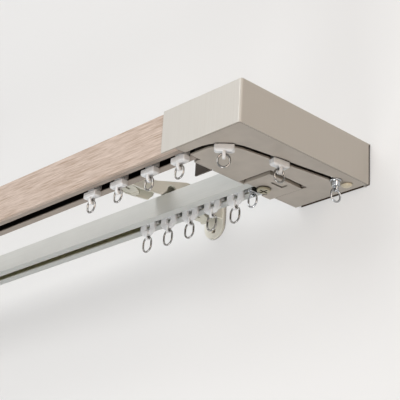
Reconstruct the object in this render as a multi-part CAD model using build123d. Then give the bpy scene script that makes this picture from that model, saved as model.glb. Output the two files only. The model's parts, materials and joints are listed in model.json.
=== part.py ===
from build123d import *
import os
from math import cos, radians, sin

os.makedirs("parts", exist_ok=True)

# Double curtain track on three wall brackets, closed at each end by a cap in which the
# front slot turns back to the wall. All sizes are in millimetres and degrees.
# X runs along the track, the room is at -Y, Z is up, and the wall is the plane Y = 0.
# The origin is the middle of the centre bracket's wall face.

# Whole track
track_length = 1000.0  # over both end caps
projection = 134.0  # wall to the caps' front
underside_drop = 21.0  # wall plates' middle down to the rails' underside
seat_gap = 0.2  # between fixed pieces that fit together
run_gap = 0.3  # between pieces that move or hook over one another

# Rails
rail_wall = 1.2
rail_height = 16.5
front_rail_width = 20.0
rear_rail_width = 21.4
front_slot_width = 7.6
rear_slot_width = 7.2
front_slot_setback = 12.6  # caps' front to the front slot's middle
rear_slot_from_wall = 47.8
front_rail_inset = 64.0  # caps' outer end to the front rail's end
rear_rail_inset = 67.0
top_lip_height = 2.5
top_lip_reach = 3.0
top_lip_thickness = 1.0
top_lip_offset = 1.6  # slot's middle to the front of the top lip
rear_lip_reach = 2.0

# Wood-faced strip
fascia_height = 31.5
fascia_thickness = 1.2
fascia_lip_thickness = 0.9
fascia_lip_drop = 1.5
fascia_rebate = 2.2
fascia_edge_radius = 0.6

# End caps
cap_length = 77.2
cap_body_length = 70.0
cap_height = 33.0
cap_wall = 1.2
cap_corner_radius = 2.0
cap_edge_chamfer = 0.6
cap_gap_width = 2.4  # shadow gap along the wall, under the cap
cap_gap_height = 3.0
cap_gap_from_end = 5.0
cap_end_gap_width = 1.4  # shadow gap between the outer end and the wall
cap_end_gap_depth = 3.0

# Curved return of the front slot
return_straight = 14.3  # front rail's end to the start of the bend
return_radius = 24.0
return_turn = 81.0
return_end_from_wall = 20.0
return_slot_width = 5.0
return_channel_width = 13.2
return_channel_height = 9.0
return_channel_wall = 1.2
tongue_from_end = 87.0  # caps' outer end to the tip of the guide's tongue
tongue_from_wall = 92.0
tongue_height = 14.0

# Joint cover, clamp screw and button under each cap
cover_inner_edge = 38.0  # caps' outer end to the far edge of the cover's seat
cover_front_from_wall = 64.6
cover_groove_width = 4.6  # round the cover's front and far edge
cover_ledge_lap = 1.2
cover_groove_depth = 3.2
cover_ledge_thickness = 1.2
cover_back_from_wall = 26.0
cover_tongue_reach = 4.5
cover_tongue_width = 9.0
slit_width = 1.8
slit_length = 12.0
slit_foot = 6.0
slit_corner_from_end = 53.0
slit_corner_from_wall = 36.4
screw_from_end = 63.6
screw_from_wall = 44.3
screw_head_radius = 5.0
screw_head_height = 1.8
screw_collar_radius = 3.2
screw_collar_height = 0.8  # head stands off the cover by it
screw_shank_radius = 1.7
screw_slot_length = 7.0
screw_slot_width = 1.1
screw_slot_depth = 0.9
screw_head_sides = 16
button_from_end = 12.0
button_from_wall = 11.5
button_length = 9.0
button_width = 7.4
button_height = 2.2
button_shank_width = 3.6  # square, so that the button can't turn
button_sides = 16
shank_length = 5.0

# Wall brackets
bracket_inset = 160.0  # caps' outer end to the outer brackets' middle
plate_width = 22.0
plate_height = 48.0
plate_thickness = 2.0
plate_end_sides = 12  # round each end of the plate
screw_hole_radius = 2.1
screw_hole_spacing = 11.0
upper_holes_up = 16.5
lower_hole_down = 17.5
arm_width = 18.0
arm_steel = 1.6
arm_root_top = 9.0  # above the plates' middle
arm_root_bottom = -8.5
arm_high_length = 42.0  # wall to the start of the slope down
arm_slope_length = 32.0
arm_tip_reach = 3.4  # in front of the front slot's middle
arm_web_radius = 6.0  # where the web turns down the slope and level again
arm_belly_depth = 6.2  # front flange below the seat on the rails
arm_belly_bulge = 1.0
arm_belly_rise = 1.0
arm_belly_slant = 5.0  # how far the belly's back edge leans
notch_radius = 5.2
notch_setback = 1.7  # rear rail's front face to the notch's middle
notch_rise = 0.5  # seat on the rails up to the notch's middle
notch_sides = 12
tenon_height = 4.0
tenon_spacing = 10.0

# Lock levers and their pins
lever_width = 13.0
lever_thickness = 1.6
lever_pivot_setback = 8.4  # rail's rear face to the pin
lever_pivot_drop = 2.5  # rail's top to the pin
lever_hub_radius = 2.6
lever_nose_gap = 0.7
lever_tail_length = 16.5
lever_tail_drop = 5.0
lever_waist = 11.0  # pin to where the tail starts to narrow
lever_tip_width = 6.0
lever_slot_width = 2.2
lever_slot_length = 6.0
pin_radius = 1.25
hidden_sides = 12  # of the holes and shanks that are always covered
pin_running_gap = 0.07
pin_head_radius = 2.1
pin_head_height = 0.8
pin_head_sides = 8

# Curtain rings and the eyes that hold them
wire_radius = 0.75
wire_sides = 5
ring_end_sides = 6  # round each end of a ring
front_ring_width = 9.9
front_ring_height = 11.3
rear_ring_width = 10.8
rear_ring_height = 13.8
eye_radius = 1.2
eye_drop = 0.1  # hood or saddle down to the eye's hole
stem_thickness = 2.4
stem_width = 4.0
stem_below_eye = 2.2

# Front runners, each moulded in one piece
front_head_length = 9.0
front_head_width = 10.6
front_head_height = 6.0
front_neck_length = 7.0
front_neck_width = 4.0
front_hood_length = 14.0
front_hood_width = 6.0
front_hood_height = 5.3
front_hood_shoulder = 3.4
front_hood_foot = 9.6
hood_edge = 0.7
front_runner_insets = (168.2, 137.1, 102.6, 70.8)  # caps' outer end to each runner
bend_runner_angle = 43.0
slant_runner_distance = 29.0

# Rear runners, each moulded in one piece with a split neck
rear_head_length = 17.6
rear_head_width = 14.0
rear_head_height = 6.0
rear_neck_length = 17.6
rear_neck_width = 2.0
rear_split_width = 5.0
rear_split_drop = 3.4  # how far the split runs below the rail
rear_hood_length = 17.6
rear_hood_width = 2.0
rear_hood_height = 7.8
rear_hood_shoulder = 3.0
rear_hood_foot = 9.0
rear_runner_insets = (187.4, 162.9, 138.4, 113.9, 89.0)

# Fixed end hooks
front_hook_from_wall = 22.0
hook_flange_radius = 4.6
hook_flange_thickness = 1.0
hook_bell_radius = 4.0
hook_bell_foot_radius = 3.2
hook_bell_height = 4.0
hook_sides = 8
hook_stud_radius = 1.5
hook_nut_radius = 4.0
hook_nut_thickness = 1.6
rear_hook_inset = 71.2
rear_hook_length = 4.0
rear_hook_plate_width = 14.0
rear_hook_plate_thickness = 2.0
rear_hook_saddle_width = 8.0
rear_hook_saddle_height = 2.8

# Places that follow from the sizes above
end_x = track_length / 2
front_y = -projection
bottom_z = -underside_drop
floor_z = bottom_z + rail_wall
rail_top_z = bottom_z + rail_height
cap_top_z = bottom_z + cap_height
front_slot_y = front_y + front_slot_setback
rear_slot_y = -rear_slot_from_wall
front_rail_back_y = front_slot_y + front_rail_width / 2
rear_rail_back_y = rear_slot_y + rear_rail_width / 2
rear_rail_front_y = rear_slot_y - rear_rail_width / 2
lip_top_z = rail_top_z + top_lip_height
body_x = end_x - cap_body_length
tongue_front_y = -tongue_from_wall
tongue_top_z = bottom_z + tongue_height
front_eye_z = bottom_z - run_gap - front_hood_height - eye_drop - eye_radius
rear_eye_z = bottom_z - run_gap - rear_hood_height - eye_drop - eye_radius
rear_hook_eye_z = bottom_z - rear_hook_saddle_height - eye_drop - eye_radius
bend_start_x = end_x - front_rail_inset + return_straight
bend_centre = (bend_start_x, front_slot_y + return_radius)
bracket_places = (-end_x + bracket_inset, 0.0, end_x - bracket_inset)


def flat(points, rounds=()):
    """Face inside a closed polygon; rounds holds (corner number, radius) pairs."""
    face = make_face(Polyline(*points, close=True))
    for number, radius in rounds:
        corner = face.vertices().sort_by_distance(Vector(*points[number]))[0]
        face = fillet(corner, radius)
    return face


def block(x_range, y_range, z_range):
    """Box between two limits along each axis."""
    size = [high - low for low, high in (x_range, y_range, z_range)]
    middle = [(high + low) / 2 for low, high in (x_range, y_range, z_range)]
    return Pos(*middle) * Box(*size)


def mirrored(solid):
    """The same piece for the left end."""
    return mirror(solid, about=Plane.YZ)


# Rails

def top_lip(middle_y):
    """Points of the hooking lip on a rail's top, from its front foot to its rear foot."""
    front = middle_y - top_lip_offset
    return [
        (front, rail_top_z),
        (front, lip_top_z),
        (front + top_lip_reach, lip_top_z),
        (front + top_lip_reach, lip_top_z - top_lip_thickness),
        (front + top_lip_thickness, lip_top_z - top_lip_thickness),
        (front + top_lip_thickness, rail_top_z),
    ]


def rail_back(middle_y, half_width, half_slot):
    """Points of a rail's rear half, from its top lip round the rear lip to the slot."""
    back = middle_y + half_width
    return [
        (back + rear_lip_reach, rail_top_z),
        (back + rear_lip_reach, rail_top_z - rail_wall),
        (back, rail_top_z - rail_wall),
        (back, bottom_z),
        (middle_y + half_slot, bottom_z),
        (middle_y + half_slot, floor_z),
        (back - rail_wall, floor_z),
        (back - rail_wall, rail_top_z - rail_wall),
    ]


def front_rail():
    """Slotted channel whose front web stands up behind the wood-faced strip."""
    front = front_slot_y - front_rail_width / 2
    slot_edge = front_slot_y - front_slot_width / 2
    rebate_z = bottom_z + fascia_lip_thickness + seat_gap
    web_top = bottom_z + fascia_height - fascia_lip_thickness - seat_gap
    points = [
        (slot_edge, bottom_z),
        (front + fascia_rebate, bottom_z),
        (front + fascia_rebate, rebate_z),
        (front, rebate_z),
        (front, web_top),
        (front + rail_wall, web_top),
        (front + rail_wall, rail_top_z),
    ]
    points += top_lip(front_slot_y)
    points += rail_back(front_slot_y, front_rail_width / 2, front_slot_width / 2)
    points += [
        (front + rail_wall, rail_top_z - rail_wall),
        (front + rail_wall, rebate_z + rail_wall),
        (front + fascia_rebate + rail_wall, rebate_z + rail_wall),
        (front + fascia_rebate + rail_wall, floor_z),
        (slot_edge, floor_z),
    ]
    half_length = end_x - front_rail_inset
    return extrude(Plane.YZ * flat(points), half_length, both=True)


def rear_rail():
    """Plain slotted channel for the thin curtain."""
    front = rear_rail_front_y
    slot_edge = rear_slot_y - rear_slot_width / 2
    points = [(slot_edge, bottom_z), (front, bottom_z), (front, rail_top_z)]
    points += top_lip(rear_slot_y)
    points += rail_back(rear_slot_y, rear_rail_width / 2, rear_slot_width / 2)
    points += [
        (front + rail_wall, rail_top_z - rail_wall),
        (front + rail_wall, floor_z),
        (slot_edge, floor_z),
    ]
    half_length = end_x - rear_rail_inset
    return extrude(Plane.YZ * flat(points), half_length, both=True)


def front_fascia():
    """Thin strip with a lip under the rail's web and a hook over its top."""
    web_front = front_slot_y - front_rail_width / 2
    back = web_front - seat_gap / 2
    face = back - fascia_thickness
    top = bottom_z + fascia_height
    hook_front = web_front + rail_wall + seat_gap
    points = [
        (face, bottom_z),
        (web_front + fascia_rebate - seat_gap, bottom_z),
        (web_front + fascia_rebate - seat_gap, bottom_z + fascia_lip_thickness),
        (back, bottom_z + fascia_lip_thickness),
        (back, top - fascia_lip_thickness),
        (hook_front, top - fascia_lip_thickness),
        (hook_front, top - fascia_lip_thickness - fascia_lip_drop),
        (hook_front + fascia_lip_thickness, top - fascia_lip_thickness - fascia_lip_drop),
        (hook_front + fascia_lip_thickness, top),
        (face, top),
    ]
    top_corner = len(points) - 1
    rounds = [(0, fascia_edge_radius), (top_corner, fascia_edge_radius)]
    half_length = end_x - front_rail_inset
    return extrude(Plane.YZ * flat(points, rounds), half_length, both=True)


# Curved return of the front slot, in the right-hand cap

def bend_point(angle):
    """Place on the bend's middle line where it has turned by an angle."""
    turned = radians(angle)
    return (
        bend_centre[0] + return_radius * sin(turned),
        bend_centre[1] - return_radius * cos(turned),
    )


def slant_point(distance):
    """Place on the slanted stretch at a distance past the bend."""
    x, y = bend_point(return_turn)
    turned = radians(return_turn)
    return (x + distance * cos(turned), y + distance * sin(turned))


slant_length = (-return_end_from_wall - bend_point(return_turn)[1]) / sin(radians(return_turn))
hook_distance = (-front_hook_from_wall - bend_point(return_turn)[1]) / sin(radians(return_turn))
channel_overrun = hook_distance - slant_length + hook_nut_radius + run_gap


def return_band(half_width, start_x, overrun):
    """Plan of a band of even width along the return: straight, bend, slanted stretch."""
    turned = radians(return_turn)
    across = (-sin(turned), cos(turned))
    end = slant_point(slant_length + overrun)
    bend_end = bend_point(return_turn)

    def shifted(point, side):
        return (point[0] + side * across[0], point[1] + side * across[1])

    def arc(side):
        return CenterArc(bend_centre, return_radius - side, -90, return_turn)

    outer, inner = -half_width, half_width
    edges = [
        Line((start_x, front_slot_y + outer), (bend_start_x, front_slot_y + outer)),
        arc(outer),
        Line(shifted(bend_end, outer), shifted(end, outer)),
        Line(shifted(end, outer), shifted(end, inner)),
        Line(shifted(end, inner), shifted(bend_end, inner)),
        arc(inner),
        Line((bend_start_x, front_slot_y + inner), (start_x, front_slot_y + inner)),
        Line((start_x, front_slot_y + inner), (start_x, front_slot_y + outer)),
    ]
    return make_face(edges)


def return_track():
    """Guide channel over the curved slot, open below, with a tongue out of the cap's inner side."""
    start = end_x - front_rail_inset + 2 * seat_gap
    half = return_channel_width / 2
    wall = return_channel_wall
    outer = return_band(half + wall, start, channel_overrun + wall)
    inner = return_band(half, start - 1, channel_overrun)
    height = return_channel_height
    guide = extrude(Pos(0, 0, floor_z) * outer, height + wall)
    root_distance = (tongue_front_y - bend_point(return_turn)[1]) / sin(radians(return_turn))
    root_x = slant_point(root_distance)[0] - half - wall / 2
    tongue_x = end_x - tongue_from_end
    thickness = (tongue_front_y, tongue_front_y + wall)
    guide += block((tongue_x, root_x), thickness, (floor_z, tongue_top_z))
    guide += block((tongue_x, body_x - seat_gap), thickness, (bottom_z, floor_z))
    return guide - extrude(Pos(0, 0, floor_z - 1) * inner, height + 1)


# End caps

sleeve_back_y = front_rail_back_y + rear_lip_reach + 2 * seat_gap
base_margin = cap_wall + seat_gap
cover_front_y = -cover_front_from_wall
cover_back_y = -cover_back_from_wall
cover_edge_x = end_x - cover_inner_edge
rear_rail_end_x = end_x - rear_rail_inset


def cap_shell():
    """Moulded housing: front, top, end, back and inner side, with a sleeve over the strip."""
    outline = [
        (end_x - cap_length, front_y),
        (end_x, front_y),
        (end_x, 0),
        (body_x, 0),
        (body_x, sleeve_back_y),
        (end_x - cap_length, sleeve_back_y),
    ]
    body = extrude(Pos(0, 0, bottom_z) * flat(outline, [(1, cap_corner_radius)]), cap_height)
    top_rim = [
        edge
        for edge in body.edges().group_by(Axis.Z)[-1]
        if edge.center().X > end_x - 1 or edge.center().Y < front_y + 1
    ]
    body = chamfer(top_rim, cap_edge_chamfer)
    inner_radius = cap_corner_radius - cap_wall
    hollow = [
        (body_x + cap_wall, front_y + cap_wall),
        (end_x - cap_wall, front_y + cap_wall),
        (end_x - cap_wall, -cap_wall),
        (body_x + cap_wall, -cap_wall),
    ]
    depth = cap_height - cap_wall
    body -= extrude(Pos(0, 0, bottom_z - 1) * flat(hollow, [(1, inner_radius)]), depth + 1)
    body -= block(
        (end_x - cap_length - 1, body_x + cap_wall + 1),
        (front_y + cap_wall, sleeve_back_y + seat_gap),
        (bottom_z - 1, cap_top_z - cap_wall),
    )
    # Way in for the rear rail, and for the cover's tongue beside it
    body -= block(
        (body_x - 1, body_x + cap_wall + 1),
        (rear_rail_front_y - seat_gap, rear_rail_back_y + rear_lip_reach + seat_gap),
        (bottom_z - 1, lip_top_z + seat_gap),
    )
    body -= block(
        (body_x - 1, body_x + cap_wall + 1),
        (cover_back_y - cover_tongue_width - seat_gap, cover_back_y + seat_gap),
        (bottom_z - 1, floor_z + seat_gap),
    )
    # Way out for the guide's tongue
    body -= block(
        (body_x - 1, body_x + cap_wall + 1),
        (tongue_front_y - seat_gap, tongue_front_y + return_channel_wall + seat_gap),
        (bottom_z - 1, tongue_top_z + seat_gap),
    )
    # Shadow gaps along the wall, under the back and in the outer end
    body -= block(
        (body_x - 1, end_x - cap_gap_from_end),
        (-cap_gap_width, 1),
        (bottom_z - 1, bottom_z + cap_gap_height),
    )
    body -= block(
        (end_x - cap_end_gap_depth, end_x + 1),
        (-cap_end_gap_width, 1),
        (bottom_z - 1, cap_top_z - cap_wall),
    )
    return body


def cap_base():
    """Bottom plate with the curved slot, level with the rails' lower walls."""
    rail_side = end_x - front_rail_inset + 2 * seat_gap
    left = body_x + base_margin
    right = end_x - base_margin
    bite = cover_edge_x + seat_gap
    outline = [
        (rail_side, front_y + base_margin),
        (right, front_y + base_margin),
        (right, -cap_gap_width),
        (left, -cap_gap_width),
        (left, cover_back_y + seat_gap),
        (bite, cover_back_y + seat_gap),
        (bite, cover_front_y - seat_gap),
        (left, cover_front_y - seat_gap),
        (left, sleeve_back_y + seat_gap),
        (rail_side, sleeve_back_y + seat_gap),
    ]
    corner = cap_corner_radius - cap_wall
    plan = flat(outline, [(1, corner)])
    plan -= return_band(return_slot_width / 2, rail_side - 1, 0)
    plan -= Pos(*slant_point(slant_length)) * Circle(return_slot_width / 2)
    button_place = (end_x - button_from_end, -button_from_wall)
    hole = button_shank_width + seat_gap
    plan -= Pos(*button_place) * Rectangle(hole, hole)
    base = extrude(Pos(0, 0, bottom_z) * plan, rail_wall)
    # Trough behind the groove, with a ledge on which the cover's edges rest
    groove_top = bottom_z + cover_groove_depth
    ledge_top = groove_top + cover_ledge_thickness
    lap = cover_groove_width + cover_ledge_lap
    base += block(
        (left, bite + cover_ledge_lap),
        (cover_front_y - seat_gap - cover_ledge_lap, cover_front_y + lap),
        (floor_z, ledge_top),
    )
    base += block(
        (cover_edge_x - lap, bite + cover_ledge_lap),
        (cover_front_y, cover_back_y),
        (floor_z, ledge_top),
    )
    base -= block(
        (left - 1, cover_edge_x),
        (cover_front_y, cover_front_y + cover_groove_width),
        (bottom_z - 1, groove_top),
    )
    base -= block(
        (cover_edge_x - cover_groove_width, cover_edge_x),
        (cover_front_y, cover_back_y - cover_ledge_lap),
        (bottom_z - 1, groove_top),
    )
    return base


def joint_cover():
    """Plate over the rear rail's joint, with a tongue beside the rail and a snap tab's slit."""
    left = body_x + base_margin
    right = cover_edge_x - cover_groove_width
    front = cover_front_y + cover_groove_width
    rail_stop = rear_rail_end_x + seat_gap
    outline = [
        (right, front),
        (right, cover_back_y),
        (body_x - cover_tongue_reach, cover_back_y),
        (body_x - cover_tongue_reach, cover_back_y - cover_tongue_width),
        (left, cover_back_y - cover_tongue_width),
        (left, rear_rail_back_y + seat_gap),
        (rail_stop, rear_rail_back_y + seat_gap),
        (rail_stop, rear_rail_front_y - seat_gap),
        (left, rear_rail_front_y - seat_gap),
        (left, front),
    ]
    plan = flat(outline)
    corner_x = end_x - slit_corner_from_end
    corner_y = -slit_corner_from_wall
    slit = [
        (corner_x, corner_y - slit_length),
        (corner_x, corner_y),
        (corner_x + slit_foot, corner_y),
        (corner_x + slit_foot, corner_y - slit_width),
        (corner_x + slit_width, corner_y - slit_width),
        (corner_x + slit_width, corner_y - slit_length),
    ]
    plan -= flat(slit)
    screw_place = (end_x - screw_from_end, -screw_from_wall)
    hole = RegularPolygon(screw_shank_radius + seat_gap / 2, hidden_sides)
    plan -= Pos(*screw_place) * hole
    return extrude(Pos(0, 0, bottom_z) * plan, rail_wall)


def clamp_screw():
    """Screw through the cover, its wide crossed head held off by a collar."""
    place = Pos(end_x - screw_from_end, -screw_from_wall, bottom_z)
    head_low = -screw_collar_height - screw_head_height
    disc = RegularPolygon(screw_head_radius, screw_head_sides)
    screw = extrude(Pos(0, 0, head_low) * disc, screw_head_height)
    collar = RegularPolygon(screw_collar_radius, hidden_sides)
    screw += extrude(Pos(0, 0, -screw_collar_height) * collar, screw_collar_height)
    screw += extrude(RegularPolygon(screw_shank_radius, hidden_sides), shank_length)
    for turn in (0, 90):
        slot = Box(screw_slot_length, screw_slot_width, 2 * screw_slot_depth)
        screw -= Pos(0, 0, head_low) * Rot(0, 0, turn) * slot
    return place * screw


def hook_button():
    """Oval button whose shank snaps through the base beside the slot's end."""
    place = Pos(end_x - button_from_end, -button_from_wall, bottom_z)
    rim = []
    for number in range(button_sides):
        turned = radians((number + 0.5) * 360 / button_sides)
        rim.append((button_length / 2 * cos(turned), button_width / 2 * sin(turned)))
    head = extrude(Pos(0, 0, -button_height) * flat(rim), button_height)
    width = button_shank_width
    shank = Pos(0, 0, shank_length / 2) * Box(width, width, shank_length)
    return place * (head + shank)


# Rings, eyes and runners

def stem(top_z, eye_z):
    """Flat stem across the track with a tapered foot and the eye for a ring."""
    half = stem_width / 2
    foot_z = eye_z - stem_below_eye
    side = flat([
        (-half, top_z),
        (-half, eye_z),
        (-half / 2, foot_z),
        (half / 2, foot_z),
        (half, eye_z),
        (half, top_z),
    ])
    eye = make_face([
        CenterArc((0, eye_z), eye_radius, 180, 180),
        Polyline(
            (eye_radius, eye_z),
            (eye_radius / 2, eye_z + eye_radius),
            (-eye_radius / 2, eye_z + eye_radius),
            (-eye_radius, eye_z),
        ),
    ])
    return extrude(Plane.YZ * (side - eye), stem_thickness / 2, both=True)


def ring(width, height):
    """Wire ring with round ends and short straight sides, hung from its own top at the origin.

    Its wire is drawn with a few flats round the section and round each end.
    """
    arc_radius = width / 2 - wire_radius
    step = 180 / ring_end_sides
    corner_radius = arc_radius / cos(radians(step / 2))
    low_middle_z = -height + 2 * wire_radius + arc_radius
    corners = []
    for middle_z, first in ((-arc_radius, 0), (low_middle_z, 180)):
        for number in range(ring_end_sides):
            turned = radians(first + (number + 0.5) * step)
            x = corner_radius * cos(turned)
            corners.append((x, 0, middle_z + corner_radius * sin(turned)))
    path = Polyline(*corners, close=True)
    section = Plane(path @ 0, z_dir=path % 0) * RegularPolygon(wire_radius, wire_sides)
    return sweep(section, path, transition=Transition.RIGHT)


def runner(head, neck, hood, shoulder, foot, eye_z):
    """Runner along X with its middle at the origin: head, neck, hood, stem and eye.

    head, neck and hood hold length, width and height; the neck's height is the rail's wall.
    """
    head_low = floor_z - bottom_z + run_gap
    body = Pos(0, 0, head_low + head[2] / 2) * Box(*head)
    body = chamfer(body.edges().filter_by(Axis.Z), head[1] / 8)
    body = chamfer(body.edges().group_by(Axis.Z)[-1], head[2] / 8)
    neck_height = head_low + run_gap
    body += Pos(0, 0, head_low - neck_height / 2) * Box(neck[0], neck[1], neck_height)
    top = -run_gap
    low = top - hood[2]
    side = [
        (-hood[0] / 2, top),
        (hood[0] / 2, top),
        (hood[0] / 2, top - shoulder),
        (foot / 2, low),
        (-foot / 2, low),
        (-hood[0] / 2, top - shoulder),
    ]
    cover = extrude(Plane.XZ * flat(side), hood[1] / 2, both=True)
    cover = chamfer(cover.edges().filter_by(Axis.Z), hood_edge)
    return body + cover + stem(top - hood[2] / 2, eye_z)


def front_runner():
    """Runner for the thick curtain, thin enough in the neck for the curved slot."""
    return runner(
        (front_head_length, front_head_width, front_head_height),
        (front_neck_length, front_neck_width),
        (front_hood_length, front_hood_width, front_hood_height),
        front_hood_shoulder,
        front_hood_foot,
        front_eye_z - bottom_z,
    )


def rear_runner():
    """Longer runner for the thin curtain, split in two from its head down into its hood."""
    whole = runner(
        (rear_head_length, rear_head_width, rear_head_height),
        (rear_neck_length, rear_neck_width),
        (rear_hood_length, rear_hood_width, rear_hood_height),
        rear_hood_shoulder,
        rear_hood_foot,
        rear_eye_z - bottom_z,
    )
    split = block(
        (-rear_split_width / 2, rear_split_width / 2),
        (-rear_hood_width, rear_hood_width),
        (-rear_split_drop, floor_z - bottom_z + run_gap),
    )
    return whole - split


# Fixed end hooks

def front_end_hook():
    """Domed eye bolted up through the end of the curved slot."""
    flange_low = -hook_flange_thickness
    flange = RegularPolygon(hook_flange_radius, hook_sides)
    hook = extrude(Pos(0, 0, flange_low) * flange, hook_flange_thickness)
    bell_low = flange_low - hook_bell_height
    hook += loft([
        Pos(0, 0, flange_low) * RegularPolygon(hook_bell_radius, hook_sides),
        Pos(0, 0, bell_low) * RegularPolygon(hook_bell_foot_radius, hook_sides),
    ])
    stud = RegularPolygon(hook_stud_radius, hook_sides)
    hook += extrude(stud, rail_wall + hook_nut_thickness / 2)
    nut = RegularPolygon(hook_nut_radius, 6)
    hook += extrude(Pos(0, 0, rail_wall) * nut, hook_nut_thickness)
    return hook + stem(flange_low, front_eye_z - bottom_z)


def rear_end_hook():
    """Eye on a saddle under the rear rail's slot, held by a plate inside the rail."""
    plate_low = rail_wall
    thickness = rear_hook_plate_thickness
    plate = Box(rear_hook_length, rear_hook_plate_width, thickness)
    hook = Pos(0, 0, plate_low + thickness / 2) * plate
    neck_width = rear_slot_width - 2 * run_gap
    neck_top = plate_low + thickness / 2
    hook += Pos(0, 0, neck_top / 2) * Box(rear_hook_length, neck_width, neck_top)
    saddle = Pos(0, 0, -rear_hook_saddle_height / 2)
    saddle *= Box(rear_hook_length, rear_hook_saddle_width, rear_hook_saddle_height)
    saddle = chamfer(saddle.edges().group_by(Axis.Z)[0], rear_hook_saddle_height / 3)
    return hook + saddle + stem(0, rear_hook_eye_z - bottom_z)


# Wall brackets

pin_z = rail_top_z - lever_pivot_drop
seat_z = rail_top_z + run_gap
jaw_z = lip_top_z + run_gap
tooth_top_z = lip_top_z - top_lip_thickness - run_gap
arm_front_top_z = jaw_z + arm_steel
lip_back = top_lip_reach - top_lip_offset + run_gap
tooth_front = top_lip_thickness - top_lip_offset + run_gap
tenon_middle_z = (arm_root_top + arm_root_bottom) / 2


def bracket_plate():
    """Stadium-shaped wall plate with two screw holes above and one below."""
    rim = []
    for end in (1, -1):
        for number in range(plate_end_sides + 1):
            turned = radians(90 * (1 - end) + number * 180 / plate_end_sides)
            rise = end * (plate_height - plate_width) / 2 + plate_width / 2 * sin(turned)
            rim.append((plate_width / 2 * cos(turned), rise))
    plan = flat(rim)
    for side in (-1, 1):
        place = Pos(side * screw_hole_spacing / 2, upper_holes_up)
        plan -= place * Circle(screw_hole_radius)
    plan -= Pos(0, -lower_hole_down) * Circle(screw_hole_radius)
    for side in (-1, 1):
        for level in (-1, 1):
            x = side * (arm_width - arm_steel) / 2
            z = tenon_middle_z + level * tenon_spacing / 2
            slot = Rectangle(arm_steel + seat_gap, tenon_height + seat_gap)
            plan -= Pos(x, z) * slot
    return extrude(Plane.XZ * plan, plate_thickness)


def arm_side():
    """Side view of the pressed arm, with a hook tooth over each rail's top lip."""
    wall_end = -plate_thickness
    slope_foot_y = -arm_high_length - arm_slope_length
    tip_y = front_slot_y - arm_tip_reach
    front_flange_y = front_rail_back_y + rear_lip_reach + 2 * seat_gap
    rear_flange_y = rear_rail_back_y + rear_lip_reach + 2 * seat_gap
    notch_y = rear_rail_front_y + notch_setback
    belly_z = seat_z - arm_belly_depth
    belly_back_y = notch_y - notch_radius
    belly_corner_y = belly_back_y - arm_belly_slant
    belly_middle_y = (front_flange_y + belly_corner_y) / 2
    outline = [
        (wall_end, arm_root_top),
        (-arm_high_length, arm_root_top),
        (slope_foot_y, arm_front_top_z),
        (tip_y, arm_front_top_z),
        (tip_y, jaw_z),
        (front_slot_y + lip_back, jaw_z),
        (front_slot_y + lip_back, tooth_top_z),
        (front_slot_y + tooth_front, tooth_top_z),
        (front_slot_y + tooth_front, seat_z),
        (front_flange_y, seat_z),
        (front_flange_y, belly_z),
        (belly_middle_y, belly_z - arm_belly_bulge),
        (belly_corner_y, belly_z + arm_belly_rise),
        (belly_back_y, seat_z),
        (rear_flange_y, seat_z),
        (rear_flange_y, belly_z),
        (wall_end, arm_root_bottom),
    ]
    side = flat(outline, [(1, arm_web_radius), (2, arm_web_radius)])
    notch = RegularPolygon(notch_radius, notch_sides)
    side -= Pos(notch_y, seat_z + notch_rise) * notch
    pocket_back = rear_slot_y + lip_back
    pocket_tooth = rear_slot_y + tooth_front
    side -= flat([
        (notch_y, seat_z - 1),
        (pocket_tooth, seat_z - 1),
        (pocket_tooth, tooth_top_z),
        (pocket_back, tooth_top_z),
        (pocket_back, jaw_z),
        (notch_y, jaw_z),
    ])
    for pin_y in pin_places():
        side -= Pos(pin_y, pin_z) * RegularPolygon(pin_radius, hidden_sides, major_radius=False)
    return side


def pin_places():
    """Y of the front and the rear lever's pin."""
    return (front_rail_back_y + lever_pivot_setback, rear_rail_back_y + lever_pivot_setback)


def bracket_arm():
    """Pressed channel arm, open below, with tenons through the wall plate."""
    half = arm_width / 2
    wall_end = -plate_thickness
    body = extrude(Plane.YZ * arm_side(), half, both=True)
    inside_half = half - arm_steel
    slope_foot_y = -arm_high_length - arm_slope_length
    under_web = [
        (1, arm_root_top - arm_steel),
        (-arm_high_length, arm_root_top - arm_steel),
        (slope_foot_y, jaw_z),
        (front_y - 1, jaw_z),
        (front_y - 1, bottom_z - 1),
        (1, bottom_z - 1),
    ]
    rounds = [(1, arm_web_radius - arm_steel), (2, arm_web_radius + arm_steel)]
    body -= extrude(Plane.YZ * flat(under_web, rounds), inside_half, both=True)
    for side in (-1, 1):
        for level in (-1, 1):
            x = side * (half - arm_steel / 2)
            z = tenon_middle_z + level * tenon_spacing / 2
            body += block(
                (x - arm_steel / 2, x + arm_steel / 2),
                (wall_end - 0.5, 0),
                (z - tenon_height / 2, z + tenon_height / 2),
            )
    return body


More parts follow.
